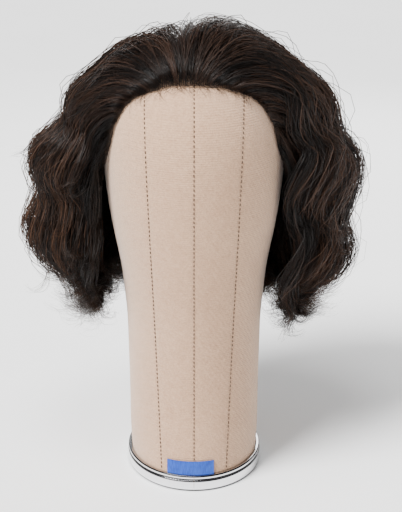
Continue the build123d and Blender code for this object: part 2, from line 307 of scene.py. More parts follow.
def steel_material(name, tint, roughness):
    m = Nodes(name)
    brushed = m.noise(300.0, 4.0, m.stretched((1.0, 1.0, 12.0)))
    m.link(m.ramp(brushed, [(0.3, tuple(0.75 * c for c in tint)), (0.7, tint)]), "Base Color")
    m.set(Metallic=1.0)
    m.link(m.levels(brushed, 0.3, 0.7, roughness, roughness + 0.18), "Roughness")
    m.bump(brushed, 0.00003, 0.4)
    return m.material


def filling_material():
    m = Nodes("filling")
    grains = m.noise(350.0, 5.0, roughness=0.7)
    stops = [(0.3, (0.16, 0.09, 0.045)), (0.5, (0.36, 0.23, 0.13)), (0.7, (0.55, 0.40, 0.26))]
    m.link(m.ramp(grains, stops), "Base Color")
    m.link(m.levels(grains, 0.3, 0.7, 0.8, 1.0), "Roughness")
    m.bump(grains, 0.0008, 0.8)
    return m.material


def plastic_material():
    m = Nodes("hook_plastic")
    mould = m.noise(500.0, 3.0)
    m.link(m.ramp(mould, [(0.3, (0.012, 0.011, 0.011)), (0.7, (0.03, 0.028, 0.027))]), "Base Color")
    m.link(m.levels(mould, 0.3, 0.7, 0.35, 0.5), "Roughness")
    m.bump(mould, 0.00005, 0.3)
    return m.material


TONES = 64  # shades of hair, side by side along the strands' u
BODY_AT = 0.35  # how far along a strand its root's colour has gone
DARK_SHADE, LIGHT_SHADE = (0.32, 0.30, 0.30), (5.5, 4.6, 3.9)
LIGHT_IS_RARE = 2.4


def hair_material(name, root, body, tip):
    """Colour runs along each strand with v, and the strands' tones lie side by side along u."""
    m = Nodes(name)
    uv = m.add("UVMap", uv_map="OFBake").outputs["UV"]
    parts = m.add("SeparateXYZ", {"Vector": uv})
    along = parts.outputs["Y"]
    tone = m.maths("DIVIDE", m.maths("FLOOR", m.maths("MULTIPLY", parts.outputs["X"], TONES)), TONES)
    colour = m.ramp(along, [(0.0, root), (BODY_AT, body), (1.0, tip)])
    dark = m.mix(1.0, colour, DARK_SHADE, "MULTIPLY")
    light = m.mix(1.0, colour, LIGHT_SHADE, "MULTIPLY")
    # the tone picks between a dark and a light copy of the colour; it carries the painted light at the
    # crown and the painted shade at the temples and the nape from strand_tones
    m.link(m.mix(m.maths("POWER", tone, LIGHT_IS_RARE), dark, light), "Base Color")
    m.link(m.levels(tone, 0.0, 1.0, 0.34, 0.50), "Roughness")
    m.set(Specular_IOR_Level=0.20)
    return m.material


# -------------------------------- camera, light and floor
def build_camera():
    data = bpy.data.cameras.new("camera")
    data.lens = CAMERA_LENS
    data.shift_x, data.shift_y = CAMERA_SHIFT
    camera = bpy.data.objects.new("camera", data)
    camera.location = CAMERA_AT
    camera.rotation_euler = (math.radians(90 - CAMERA_TILT_DEG), 0, 0)
    bpy.context.scene.collection.objects.link(camera)
    bpy.context.scene.camera = camera


WORLD_STRENGTH = 0.50
SUN_FROM, SUN_STRENGTH, SUN_ANGLE_DEG = (-0.72, -0.60, 1.0), 8.2, 26.0
LAMPS_AIM = (0.0, 0.0, 0.24)
LAMPS = [  # name, place, diameter, power
    ("fill", (1.35, -0.7, 0.7), 0.8, 1.5),
    ("top", (-0.15, -0.25, 1.7), 0.6, 14.0),
    ("back", (0.3, 1.4, 0.9), 0.8, 9.0),
]
FLOOR_HALF = 25.0


def lamp(name, place, size, power):
    data = bpy.data.lights.new(name, "AREA")
    data.shape, data.size, data.energy = "DISK", size, power
    light = bpy.data.objects.new(name, data)
    light.location = place
    light.rotation_euler = (Vector(LAMPS_AIM) - Vector(place)).to_track_quat("-Z", "Y").to_euler()
    bpy.context.scene.collection.objects.link(light)


def build_studio():
    world = bpy.data.worlds.new("studio")
    world.use_nodes = True
    background = world.node_tree.nodes["Background"]
    background.inputs["Color"].default_value = (1.0, 1.0, 1.0, 1.0)
    background.inputs["Strength"].default_value = WORLD_STRENGTH
    bpy.context.scene.world = world
    sun = bpy.data.lights.new("sun", "SUN")
    sun.energy, sun.angle = SUN_STRENGTH, math.radians(SUN_ANGLE_DEG)
    key = bpy.data.objects.new("sun", sun)
    key.rotation_euler = Vector(SUN_FROM).to_track_quat("Z", "Y").to_euler()
    bpy.context.scene.collection.objects.link(key)
    for name, place, size, power in LAMPS:
        lamp(name, place, size, power)
    floor = Nodes("floor")
    cloud = floor.noise(3.0, 2.0)
    floor.link(floor.ramp(cloud, [(0.3, (0.93, 0.93, 0.93)), (0.7, (0.95, 0.95, 0.95))]), "Base Color")
    floor.set(Roughness=0.95, Specular_IOR_Level=0.0)
    half = FLOOR_HALF
    corners = [(-half, -half, 0), (half, -half, 0), (half, half, 0), (-half, half, 0)]
    stage = mesh_object("floor", corners, [[0, 1, 2, 3]], smooth=False)
    stage.data.materials.append(floor.material)


# -------------------------------- block
SEAM_LOW_X = 28.0 * MM  # the side seams at the base, as on the cover's panels
COVER_LOW, COVER_HIGH = (v.copy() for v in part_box("canvas_centre_left"))
SEAM_HIGH_X = max(abs(COVER_LOW.x), abs(COVER_HIGH.x))
SEAM_SIDES = {"left": -1, "centre": 0, "right": 1}
SEAM_START, SEAM_STEP = 17 * MM, 1.2 * MM
SEAM_STEEP = 0.75  # where the cloth's normal rises more than this, the seam is found from above


def seam_x(name, z):
    """Where a seam of the cover stands at height z: the side seams lean outwards up to the crown."""
    return SEAM_SIDES[name] * (SEAM_LOW_X + (SEAM_HIGH_X - SEAM_LOW_X) * z / COVER_HIGH.z)


def seam_rise(block, name, way):
    """A seam's points and normals, from the base up: way is -1 at the front and 1 at the back."""
    rise = []
    for z in np.arange(SEAM_START, COVER_HIGH.z, SEAM_STEP):
        start = Vector((seam_x(name, z), way * OUTSIDE, z))
        place, normal, _, _ = block.ray_cast(start, Vector((0, -way, 0)))
        if place is not None and place.y * way > 0 and normal.z < SEAM_STEEP:
            rise.append((np.array(place), np.array(normal)))
    return rise


def seam_line(block, name):
    """Points along a seam, from the front of the base over the crown to the back, with their normals."""
    front, back = seam_rise(block, name, -1), seam_rise(block, name, 1)[::-1]
    over = []
    for y in np.arange(front[-1][0][1] + SEAM_STEP, back[0][0][1], SEAM_STEP):
        x = seam_x(name, front[-1][0][2])
        for _ in range(3):
            place, normal, _, _ = block.ray_cast(Vector((x, y, FAR_OUTSIDE)), Vector((0, 0, -1)))
            if place is None:
                break
            x = seam_x(name, place.z)
        if place is not None:
            over.append((np.array(place), np.array(normal)))
    line = front + over + back
    return np.array([p for p, _ in line]), np.array([n for _, n in line])


AHEAD = 0.5 * MM  # the length over which a line's direction is taken


def along_line(points, normals, distances):
    """Places, directions and normals at distances along a line, and the line's length."""
    run = np.concatenate([[0], np.cumsum(np.linalg.norm(np.diff(points, axis=0), axis=1))])
    at = np.stack([np.interp(distances, run, points[:, k]) for k in range(3)], axis=1)
    ahead = np.stack([np.interp(distances + AHEAD, run, points[:, k]) for k in range(3)], axis=1)
    facing = unit(np.stack([np.interp(distances, run, normals[:, k]) for k in range(3)], axis=1))
    return at, unit(ahead - at), facing, run[-1]


STITCH, STITCH_GAP = 2.3 * MM, 1.6 * MM
STITCH_PROUD, STITCH_DIP = 0.26 * MM, 0.42 * MM  # the middle above the cloth, and the ends below the middle
STITCH_LEAN = 0.05
STITCH_RINGS, STITCH_SIDES = 7, 6
THREAD_RADIUS = 0.42 * MM
THREAD_DARK, THREAD_LIGHT = (0.024, 0.014, 0.009), (0.075, 0.046, 0.029)


def stitch_points(at, ahead, up, lean):
    """A short run of thread that dips into the cloth and thins at both ends."""
    across = np.cross(ahead, up)
    points = []
    for k in range(STITCH_RINGS):
        t = k / (STITCH_RINGS - 1) * 2 - 1
        centre = at + ahead * t * STITCH * 0.5 + across * t * lean * STITCH
        centre = centre + up * (STITCH_PROUD - STITCH_DIP * t**4)
        radius = THREAD_RADIUS * math.sqrt(1 - 0.75 * t**6)
        for j in range(STITCH_SIDES):
            a = TAU * j / STITCH_SIDES
            points.append(centre + radius * (math.cos(a) * across + math.sin(a) * up))
    return points


def stitch_faces(first):
    """The walls and the two ends of a stitch whose first point has this number."""
    rings, sides = STITCH_RINGS, STITCH_SIDES
    faces = []
    for k in range(rings - 1):
        for j in range(sides):
            a, b = first + k * sides + j, first + k * sides + (j + 1) % sides
            faces.append([a, b, b + sides, a + sides])
    faces.append([first + j for j in range(sides)][::-1])
    faces.append([first + (rings - 1) * sides + j for j in range(sides)])
    return faces


def build_stitches(block, rng):
    """A row of stitches along each of the cover's three seams."""
    points, faces = [], []
    for name in SEAM_SIDES:
        line, normals = seam_line(block, name)
        length = along_line(line, normals, np.zeros(1))[3]
        starts = np.arange(0.0, length - STITCH, STITCH + STITCH_GAP)
        at, ahead, up, _ = along_line(line, normals, starts + STITCH / 2)
        for i in range(len(starts)):
            faces += stitch_faces(len(points))
            points += stitch_points(at[i], ahead[i], up[i], rng.normal(0, STITCH_LEAN))
    stitches = mesh_object("seam_stitches", points, faces)
    finish_piece(stitches, "block", thread_material("brown_thread", THREAD_DARK, THREAD_LIGHT))


COVER_COLUMNS, COVER_ROWS = 420, 240
WIDEST_Z, STEM_Y = 298 * MM, 3 * MM  # the block's widest level, and the middle of its stem
STRAIGHT_SHARE = 0.62  # the share of the cover's rows that are below the widest level
NIP_WIDTH, NIP_DEPTH = 1.1 * MM, 0.32 * MM
PUCKER_WIDTH, PUCKER_DEPTH, PUCKER_PITCH, PUCKER_DRIFT = 5.0 * MM, 0.07 * MM, 5.1 * MM, 23 * MM
HEM_HEIGHT, HEM_INSET = 6 * MM, 0.985


def cover_point(block, t, angle):
    """The block's surface and its normal, a share t of the way up and at an angle round from the front."""
    # below the widest level rays go straight out, above it they fan up to the crown
    if t < STRAIGHT_SHARE:
        z = COVER_LOW.z + (WIDEST_Z - COVER_LOW.z) * t / STRAIGHT_SHARE
        centre, way = Vector((0, STEM_Y, z)), Vector((math.sin(angle), -math.cos(angle), 0))
    else:
        rise = (t - STRAIGHT_SHARE) / (1 - STRAIGHT_SHARE) * math.pi / 2
        flat = math.cos(rise)
        centre = Vector((0, HEART[1], WIDEST_Z))
        way = Vector((math.sin(angle) * flat, -math.cos(angle) * flat, math.sin(rise)))
    place, normal, _, _ = block.ray_cast(centre + way * OUTSIDE, -way)
    return [*place, *normal] if place is not None else [*centre, *way]


def seam_relief(x, z):
    """How far the cloth stands out: nipped in along each seam, and lightly puckered beside it."""
    nip, pucker = np.zeros_like(x), np.zeros_like(x)
    for name in SEAM_SIDES:
        away = np.abs(x - seam_x(name, z))
        ripples = np.sin(z / PUCKER_PITCH * TAU + 2.0 * np.sin(z / PUCKER_DRIFT))
        nip += np.exp(-((away / NIP_WIDTH) ** 2))
        pucker += np.exp(-((away / PUCKER_WIDTH) ** 2)) * ripples
    return PUCKER_DEPTH * pucker - NIP_DEPTH * nip


def build_cover(block):
    """The sewn cover: a fine shell on the block's surface, with a hem turned up inside its foot."""
    columns, rows = COVER_COLUMNS, COVER_ROWS
    angles = [TAU * column / columns for column in range(columns)]
    heights = [row / rows for row in range(rows + 1)]
    grid = np.array([[cover_point(block, t, angle) for angle in angles] for t in heights])
    place, normal = grid[..., :3].copy(), unit(grid[..., 3:])
    place += normal * seam_relief(place[..., 0], place[..., 2])[..., None]
    hem = place[0] * [HEM_INSET, HEM_INSET, 1.0]
    points = np.concatenate([hem + [0, 0, HEM_HEIGHT], hem, place.reshape(-1, 3)])
    # the last row is the crown's single point
    crown = len(points) - columns
    faces = []
    for first in range(0, crown, columns):
        for column in range(columns):
            a, b = first + column, first + (column + 1) % columns
            corners = (a, b, b + columns, a + columns)
            faces.append(list(dict.fromkeys(min(corner, crown) for corner in corners)))
    cover = mesh_object("canvas_cover", points[: crown + 1], faces)
    finish_piece(cover, "block", canvas_material(), CANVAS_NODES)


# -------------------------------- cap nets
NET_SLANT = 0.72  # planes that cut the cap at a flatter angle than this leave no thread
NET_DEPTH = 0.5 * MM
NET_TURNS = 220
NET_BREAK = 4  # a thread ends where its next point is this many pitches off


def plane_lines(surface, axis, place, most_apart):
    """The stretches of a surface's outside that lie in the plane across an axis at this place."""
    u, v = [k for k in range(3) if k != axis]
    centre = Vector(HEART)
    centre[axis] = place
    lines, line = [], []
    for turn in np.linspace(0, TAU, NET_TURNS, endpoint=False):
        way = Vector((0, 0, 0))
        way[u], way[v] = math.cos(turn), math.sin(turn)
        hit, normal, _, _ = surface.ray_cast(centre + way * OUTSIDE, -way)
        fair = hit is not None and abs(normal[axis]) < NET_SLANT and normal.dot(way) > 0
        if fair:
            hit = hit - normal * NET_DEPTH
        if line and (not fair or (hit - line[-1]).length > most_apart):
            lines.append(line)
            line = []
        if fair:
            line.append(hit)
    return [*lines, line]


def net_lines(node, pitch):
    """Threads on a cap node's outside, where planes across X, Y and Z cut it, a pitch apart."""
    surface = tree_of([node])
    low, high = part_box(node)
    lines = []
    for axis in range(3):
        for place in np.arange(low[axis] + pitch / 2, high[axis], pitch):
            lines += plane_lines(surface, axis, place, NET_BREAK * pitch)
    return [line for line in lines if len(line) > 2]


def thread_mesh(name, lines, radius):
    """Three-sided threads along lines of different lengths."""
    points, faces = [], []
    for line in lines:
        line = np.array(line)
        along = unit(np.gradient(line, axis=0))
        side = unit(np.cross(along, unit(line - HEART)))
        up = np.cross(side, along)
        first = len(points)
        for k in range(3):
            a = TAU * k / 3
            points += list(line + radius * (side * math.cos(a) + up * math.sin(a)))
        n = len(line)
        for k in range(3):
            a, b = first + k * n, first + (k + 1) % 3 * n
            faces += [[a + i, a + i + 1, b + i + 1, b + i] for i in range(n - 1)]
        faces += [[first, first + n, first + 2 * n], [first + n - 1, first + 3 * n - 1, first + 2 * n - 1]]
    return mesh_object(name, points, faces)


LACE_PITCH, LACE_THREAD = 1.7 * MM, 0.2 * MM
NET_PITCH, NET_THREAD = 2.7 * MM, 0.30 * MM


def build_nets():
    lace = cloth_material("lace", (0.010, 0.0065, 0.005), (0.032, 0.021, 0.015), 0.0004, sheen=0.0)
    net = cloth_material("cap_net", (0.007, 0.005, 0.0045), (0.024, 0.018, 0.015), 0.0005, sheen=0.05)
    for node, pitch, radius, material, slot in (
        ("lace_front", LACE_PITCH, LACE_THREAD, lace, "lace"),
        ("crown_net", NET_PITCH, NET_THREAD, net, "cap_net"),
        ("back_net", NET_PITCH, NET_THREAD, net, "cap_net"),
    ):
        piece = thread_mesh(f"{node}_threads", net_lines(node, pitch), radius)
        finish_piece(piece, "wig", material, [node])


# -------------------------------- hair: the space it fills
POLAR_STEPS, AZIMUTH_STEPS = 120, 180
LEFT_FLATTER = 0.24  # the share of the hair's depth that the left of the crown lacks


class Space:
    """How far the hair's inside, its outside and the block are from the heart, in every direction."""

    def __init__(self):
        hair = tree_of(HAIR_NODES)
        block = tree_of(CANVAS_NODES + CAP_NODES)
        shape = (POLAR_STEPS + 1, AZIMUTH_STEPS)
        self.inner, self.outer, self.block = np.full(shape, np.nan), np.full(shape, np.nan), np.zeros(shape)
        heart = Vector(HEART)
        for i in range(shape[0]):
            polar = math.pi * i / POLAR_STEPS
            for j in range(shape[1]):
                azimuth = TAU * j / AZIMUTH_STEPS
                flat = math.sin(polar)
                way = Vector((flat * math.sin(azimuth), -flat * math.cos(azimuth), math.cos(polar)))
                far, close = hair.ray_cast(heart + way * FAR_OUTSIDE, -way)[0], hair.ray_cast(heart, way)[0]
                if far is not None and close is not None:
                    self.outer[i, j], self.inner[i, j] = (far - heart).length, (close - heart).length
                near = block.ray_cast(heart + way * FAR_OUTSIDE, -way)[0]
                self.block[i, j] = (near - heart).length if near is not None else 0.0
        self.inner, self.outer = self.filled(self.inner), self.filled(self.outer)
        # the hair is set a little flatter on the left of the crown
        height = np.cos(np.arange(shape[0]) / POLAR_STEPS * math.pi)[:, None]
        left = smooth_step(-np.sin(np.arange(shape[1]) / AZIMUTH_STEPS * TAU), 0.1, 0.7)[None]
        self.outer -= (self.outer - self.inner) * LEFT_FLATTER * left * smooth_step(height, -0.25, 0.15)

    @staticmethod
    def filled(values):
        """Empty directions take the value of the nearest direction at the same height."""
        for i, row in enumerate(values):
            known = np.flatnonzero(~np.isnan(row))
            if not len(known):
                # below the hair's ends the walls go straight down
                above, here = (math.sin(math.pi * k / POLAR_STEPS) for k in (i - 1, i))
                values[i] = values[i - 1] * above / max(here, 0.3)
                continue
            every = np.arange(len(row))
            gap = np.abs(every[:, None] - known[None])
            values[i] = row[known[np.minimum(gap, len(row) - gap).argmin(1)]]
        return values

    def read(self, table, way):
        """Bilinear reading of a table in unit directions."""
        polar = np.arccos(np.clip(way[..., 2], -1, 1)) / math.pi * POLAR_STEPS
        azimuth = (np.arctan2(way[..., 0], -way[..., 1]) % TAU) / TAU * AZIMUTH_STEPS
        i = np.clip(polar.astype(int), 0, POLAR_STEPS - 1)
        j = azimuth.astype(int) % AZIMUTH_STEPS
        f, g = polar - i, azimuth - azimuth.astype(int)
        j2 = (j + 1) % AZIMUTH_STEPS
        low = table[i, j] * (1 - g) + table[i, j2] * g
        high = table[i + 1, j] * (1 - g) + table[i + 1, j2] * g
        return low * (1 - f) + high * f

    def at_depth(self, points, depth):
        """The points moved to a depth in the hair: 0 is its inside and 1 its outside."""
        way = unit(points - HEART)
        inner, outer = self.read(self.inner, way), self.read(self.outer, way)
        return HEART + way * (inner + (outer - inner) * depth)[..., None]

    def pushed_out(self, points, gap):
        """The points, no nearer to the block and the cap than gap."""
        away = points - HEART
        reach = np.linalg.norm(away, axis=-1)
        needed = self.read(self.block, unit(away)) + gap
        return HEART + away * (np.maximum(reach, needed) / np.maximum(reach, 1e-9))[..., None]


HAIRLINE_STEP = 3 * MM
HAIRLINE_BACK_Y = -22 * MM  # behind here, points count as far above the hairline


def hairline_heights():
    """The lowest points of the lace, by their distance from the middle: the hairline, as (x, z)."""
    points = np.array([v.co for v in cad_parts["lace_front"].data.vertices])
    steps = np.round(np.abs(points[:, 0]) / HAIRLINE_STEP).astype(int)
    lowest = {step: points[steps == step, 2].min() for step in set(steps.tolist())}
    known = sorted(lowest)
    return np.array(known) * HAIRLINE_STEP, np.array([lowest[step] for step in known])


HAIRLINE_X, HAIRLINE_Z = hairline_heights()


def hairline_height(points):
    """How far points on the cap are above the hairline: large behind the ears."""
    above = points[:, 2] - np.interp(np.abs(points[:, 0]), HAIRLINE_X, HAIRLINE_Z)
    return np.maximum(above, 0) + 2 * np.maximum(points[:, 1] - HAIRLINE_BACK_Y, 0)


CAP_FACING = 0.35  # a triangle of the cap that faces outwards at least this much is on its outside
HAIRLINE_MORE, HAIRLINE_WIDTH = 11.0, 7 * MM
NAPE_MORE, EARS_MORE, FAN_MORE = 0.9, 1.2, 1.5
EARS_Y, EARS_WIDTH = 8 * MM, 28 * MM


def outside_triangles(nodes):
    """The corners of the triangles on the outside of these cap nodes, and twice their areas."""
    corners = []
    for name in nodes:
        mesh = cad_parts[name].data
        mesh.calc_loop_triangles()
        co = np.array([v.co for v in mesh.vertices])
        corners.append(co[np.array([t.vertices for t in mesh.loop_triangles])])
    corners = np.concatenate(corners)
    cross = np.cross(corners[:, 1] - corners[:, 0], corners[:, 2] - corners[:, 0])
    area = np.linalg.norm(cross, axis=1)
    away = corners.mean(1) - HEART
    outward = (cross * away).sum(1) > CAP_FACING * area * np.linalg.norm(away, axis=1)
    return corners[outward], area[outward]


def density(places):
    """How thickly the hair grows, with more of it at the hairline and at the nape."""
    _, y, z = places.T
    more = HAIRLINE_MORE * np.exp(-((hairline_height(places) / HAIRLINE_WIDTH) ** 2))
    nape = NAPE_MORE * smooth_step(0.26 - z, 0.0, 0.03)
    # more above the ears, where the hair that falls forward parts from the hair that falls back
    ears = np.exp(-(((y - EARS_Y) / EARS_WIDTH) ** 2)) * smooth_step(0.350 - z, 0.0, 0.02)
    # and behind the crown, where the hair fans out
    fan = smooth_step(y, 0.0, 0.03) * smooth_step(z, 0.29, 0.33)
    return 1 + more + nape + EARS_MORE * ears + FAN_MORE * fan


def scalp_points(count, rng, nodes):
    """Points on the outside of the cap, spread as thickly as the hair grows."""
    corners, area = outside_triangles(nodes)
    area = area * density(corners.mean(1))
    pick = rng.choice(len(area), count, p=area / area.sum())
    u, v = rng.random((2, count, 1))
    u, v = np.where(u + v > 1, 1 - u, u), np.where(u + v > 1, 1 - v, v)
    a, b, c = corners[pick, 0], corners[pick, 1], corners[pick, 2]
    return a + u * (b - a) + v * (c - a)


# -------------------------------- hair: the locks
PARTING_X = -9.0 * MM
STEP = 6.0 * MM
WAVE = 76.0 * MM
MOST_STEPS = 68
STRAND_POINTS = 34
DOWN = np.array([0.0, 0.0, -1.0])
PARTING_WIDTH, BROW_WIDTH = 26 * MM, 62 * MM
# the right temple's hair hangs a little over the brow's corner
FALL_LEFT, FALL_RIGHT = np.array([-0.60, 0.14, -0.62]), np.array([0.30, 0.02, -0.62])
HAIR_RADIUS = 130 * MM  # about how far the outside of the hair is from the middle of the head


def temples(root):
    """How far a root belongs to the temples, where the hair falls at once."""
    return smooth_step(0.348 - root[:, 2], 0.0, 0.04) * smooth_step(-root[:, 1], -0.01, 0.02)


def comb_direction(place, root):
    """The way the hair is brushed: back and out from the brow, down at the temples and behind."""
    x = root[:, 0] - PARTING_X
    side = np.tanh(x / PARTING_WIDTH)
    spread = np.clip(np.abs(x) / BROW_WIDTH, 0.0, 1.0)
    front = smooth_step(-root[:, 1], -0.075, 0.03)[:, None]
    temple = temples(root)[:, None]
    brow = np.stack([side * (0.45 + 0.8 * spread), 0.80 - 0.55 * spread, 0.30 + 0 * x], axis=1)
    fall = np.where((x > 0)[:, None], FALL_RIGHT, FALL_LEFT)
    away = unit((place - HEART) * [1.0, 1.0, 0.0])
    crown = smooth_step(root[:, 2], 0.325, 0.358)[:, None]
    back = np.stack([0.55 * side * spread, 0.85 + 0 * x, 0.1 + 0 * x], axis=1)
    behind = crown * back + (1 - crown) * (0.8 * away + 0.35 * DOWN)
    return unit(front * (brow * (1 - temple) + fall * temple) + (1 - front) * behind)


def wave_phase(points):
    """The phase of the set waves, in bands round the head WAVE apart, and how far down the hair it is."""
    away = points - HEART
    azimuth = np.arctan2(away[..., 0], -away[..., 1])
    polar = np.arccos(np.clip(away[..., 2] / np.linalg.norm(away, axis=-1), -1, 1))
    down = np.where(away[..., 2] > 0, HAIR_RADIUS * polar, HAIR_RADIUS * math.pi / 2 - away[..., 2])
    return TAU * down / WAVE + 1.3 * np.sin(2 * azimuth + 0.6) + 0.8 * np.sin(5 * azimuth + 2.0), down


LOW_ENDS, LAYERED_ENDS, INNER_ENDS = (0.090, 0.142), (0.150, 0.268), (0.100, 0.158)
LOW_SHARE, INNER_LAYER = 0.70, 0.45
SHORTEST_LOCKS = (0.06, 0.09)  # a lock ends at least this far below its root
RIGHT_LOWER, LEFT_TO_RIGHT = 8 * MM, 30 * MM  # the right ends lower, which sets in over this width


def lock_ends(roots, layer, rng):
    """The height where each lock ends: mostly low, some layered above, the inner ones between."""
    count = len(roots)
    low, layered = rng.uniform(*LOW_ENDS, count), rng.uniform(*LAYERED_ENDS, count)
    end = np.where(rng.random(count) < LOW_SHARE, low, layered)
    end = np.where(layer < INNER_LAYER, rng.uniform(*INNER_ENDS, count), end)
    end = end - RIGHT_LOWER * np.tanh(roots[:, 0] / LEFT_TO_RIGHT)
    shortest, short = SHORTEST_LOCKS[0], rng.uniform(*SHORTEST_LOCKS, count)
    return np.where(roots[:, 2] < end + shortest, roots[:, 2] - short, end)


def grow_locks(space, roots, rng):
    """The middle line of each lock, from its root to its curled tip: (locks, STRAND_POINTS, 3)."""
    count = len(roots)
    high = smooth_step(roots[:, 2], 0.215, 0.365)
    front = smooth_step(-roots[:, 1], -0.03, 0.045)
    layer = np.clip(0.12 + 0.68 * high + 0.12 * front + rng.normal(0, 0.14, count), 0.02, 1.08)
    end = lock_ends(roots, layer, rng)
    brow = np.exp(-((hairline_height(roots) / (10 * MM)) ** 2))
    sway = rng.normal(0, 1, (count, 3))
    reach = (0.088 - 0.060 * temples(roots)) * rng.uniform(0.6, 1.1, count)
    line = np.zeros((count, MOST_STEPS + 1, 3))
    line[:, 0] = roots
    direction = unit(comb_direction(roots, roots) + (0.45 + 0.6 * brow)[:, None] * unit(roots - HEART))
    place = roots.copy()
    for k in range(MOST_STEPS):
        run = k * STEP
        comb = comb_direction(place, roots)
        held = np.exp(-((run / reach) ** 2))[:, None]
        target = held * comb + (1 - held) * DOWN + 0.12 * sway * math.sin(run / 0.035)
        target += 0.35 * DOWN
        outward = unit(place - HEART)
        target -= outward * (target * outward).sum(1, keepdims=True)
        direction = unit(0.72 * direction + 0.28 * unit(target))
        place = place + direction * STEP
        rise = 1 - np.exp(-(run + STEP) / (0.030 - 0.016 * brow))
        start = 1 - smooth_step(np.full(count, run + STEP), 0.0, 0.02)
        shell = space.at_depth(place, layer * rise)
        place = shell * (1 - start[:, None]) + place * start[:, None]
        line[:, k + 1] = place
    # each lock ends where it first comes down to its own height
    below = line[:, :, 2] < end[:, None]
    below[:, -1] = True
    last = np.maximum(below.argmax(1), 8)
    return waved(line, last, layer, rng)


SIDE_SWINGS, OUT_SWINGS = (5.5, 10.0), (4.5, 8.5)  # millimetres, from the lock's middle line


def waved(line, last, layer, rng):
    """Waves along each lock and a curl at its tip, at STRAND_POINTS points."""
    count = len(line)
    # closer together towards the tip
    t = 1 - (1 - np.arange(STRAND_POINTS) / (STRAND_POINTS - 1)) ** 1.35
    at = t[None] * last[:, None]
    path = read_at(line, at)
    run = at * STEP
    across, outward = cross_axes(path)
    # neighbouring locks wave together, so that the waves read across the hair
    phase, down = wave_phase(path)
    angle = phase + (0.9 * layer + rng.normal(0, 0.45, count))[:, None]
    swing = smooth_step(run, 0.02, 0.10) * smooth_step(down, 0.09, 0.20)
    side_swing = rng.uniform(*SIDE_SWINGS, count)[:, None] * MM * swing
    out_swing = rng.uniform(*OUT_SWINGS, count)[:, None] * MM * swing
    out_swing = out_swing * (0.35 + 0.65 * np.clip(layer, 0, 1))[:, None]
    path = path + across * (side_swing * np.sin(angle))[..., None]
    path = path + outward * (out_swing * np.cos(angle + 0.6))[..., None]
    return curled(path, t, last * STEP, across[:, -1], outward[:, -1], rng)


LOW_CURLS_Z = 175 * MM
LOW_CURL_RUNS, HIGH_CURL_RUNS = (0.035, 0.075), (0.020, 0.040)
LOW_CURL_RADII, HIGH_CURL_RADII = (0.007, 0.016), (0.014, 0.024)
MOST_CURL = 3.4  # radians that a tip turns through
FLICK_SHARE = 0.72  # this share of the tips curls outwards


def curled(path, t, length, across, outward, rng):
    """The waved locks, whose tips turn out of the lock along an arc; across and outward are at the tips."""
    count = len(path)
    low = path[:, -1, 2] < LOW_CURLS_Z
    curl_run = np.where(low, rng.uniform(*LOW_CURL_RUNS, count), rng.uniform(*HIGH_CURL_RUNS, count))
    radius = np.where(low, rng.uniform(*LOW_CURL_RADII, count), rng.uniform(*HIGH_CURL_RADII, count))
    flick = (rng.random(count) < FLICK_SHARE)[:, None]
    curl_run = np.minimum(curl_run, MOST_CURL * radius)
    heading = unit(rng.normal(0, 0.85, (count, 1)) * across + np.where(flick, 1.0, -0.5) * outward)
    start = np.clip(((length - curl_run) / length)[:, None], 0, 1)
    ahead = np.maximum(t[None] - start, 0) * length[:, None]
    first = np.clip(np.searchsorted(t, start[:, 0]) - 1, 0, STRAND_POINTS - 3)
    base = np.array([[np.interp(start[i, 0], t, path[i, :, k]) for k in range(3)] for i in range(count)])
    tangent = unit(path[np.arange(count), first + 2] - path[np.arange(count), first])
    normal = unit(heading - tangent * (heading * tangent).sum(1, keepdims=True))
    turn = ahead / radius[:, None]
    arc = base[:, None] + tangent[:, None] * (radius[:, None] * np.sin(turn))[..., None]
    arc = arc + normal[:, None] * (radius[:, None] * (1 - np.cos(turn)))[..., None]
    return np.where((ahead > 0)[..., None], arc, path)


LOCK_WIDE, LOCK_THICK = 5.0 * MM, 2.2 * MM
BACK_WIDER = 0.7  # locks behind the crown are wider by this share
LOOSE_SHARE, LOOSE_SIZES, HELD_SIZES = 0.05, (4.0, 10.0), (0.3, 1.1)  # the sizes are millimetres
TIP_FRIZZ = 2.2
ROOT_HOLD = 45 * MM
AT_ONCE = 2000  # strands that look for their lock together


def nearest_locks(roots, lock_roots):
    """The number of the lock whose root is nearest to each strand's."""
    nearest = np.empty(len(roots), int)
    for i in range(0, len(roots), AT_ONCE):
        gap = np.linalg.norm(roots[i : i + AT_ONCE, None] - lock_roots[None], axis=2)
        nearest[i : i + AT_ONCE] = gap.argmin(1)
    return nearest


def wandered(offset, run, t, across, outward, rng):
    """The strands' offsets, once each wanders a little on its own and a few fly away."""
    count = len(offset)
    free = rng.random((count, 1)) < LOOSE_SHARE
    size = np.where(free, rng.uniform(*LOOSE_SIZES, (count, 1)), rng.uniform(*HELD_SIZES, (count, 1))) * MM
    size = size * (1 + TIP_FRIZZ * np.where(free, 0.0, smooth_step(t, 0.5, 1.0)))
    # a free strand has only the longer wave, and stands to one side
    for pitch, weight, free_wave, free_bias in ((0.090, 1.0, 1.0, 0.5), (0.045, 0.3, 0.0, 0.0)):
        for direction in (across, outward):
            wave = np.sin(run / pitch * TAU + rng.uniform(0, TAU, (count, 1)))
            wave = wave * np.where(free, free_wave, 1.0) + np.where(free, free_bias, 0.0)
            offset = offset + direction * (size * weight * wave * smooth_step(run, 0.02, 0.12))[..., None]
    return offset


def strand_tones(roots, nearest, locks, rng):
    """How light each strand is, from 0 to 1: a random tone of its own and its lock's, with painted light at
    the crown and painted shade round the face and the nape.
    """
    tone = 0.5 + 0.24 * rng.normal(0, 1, locks)[nearest] + 0.2 * rng.normal(0, 1, len(roots))
    # painted light lifts the crown's strands, and painted shade darkens the temples' strands beside the
    # block
    tone += 0.10 * smooth_step(roots[:, 2], 0.34, 0.37) - 0.30 * temples(roots)
    # painted shade darkens the strands at the nape
    tone -= 0.25 * smooth_step(0.27 - roots[:, 2], 0.0, 0.04)
    return np.clip(tone, 0, 0.999)


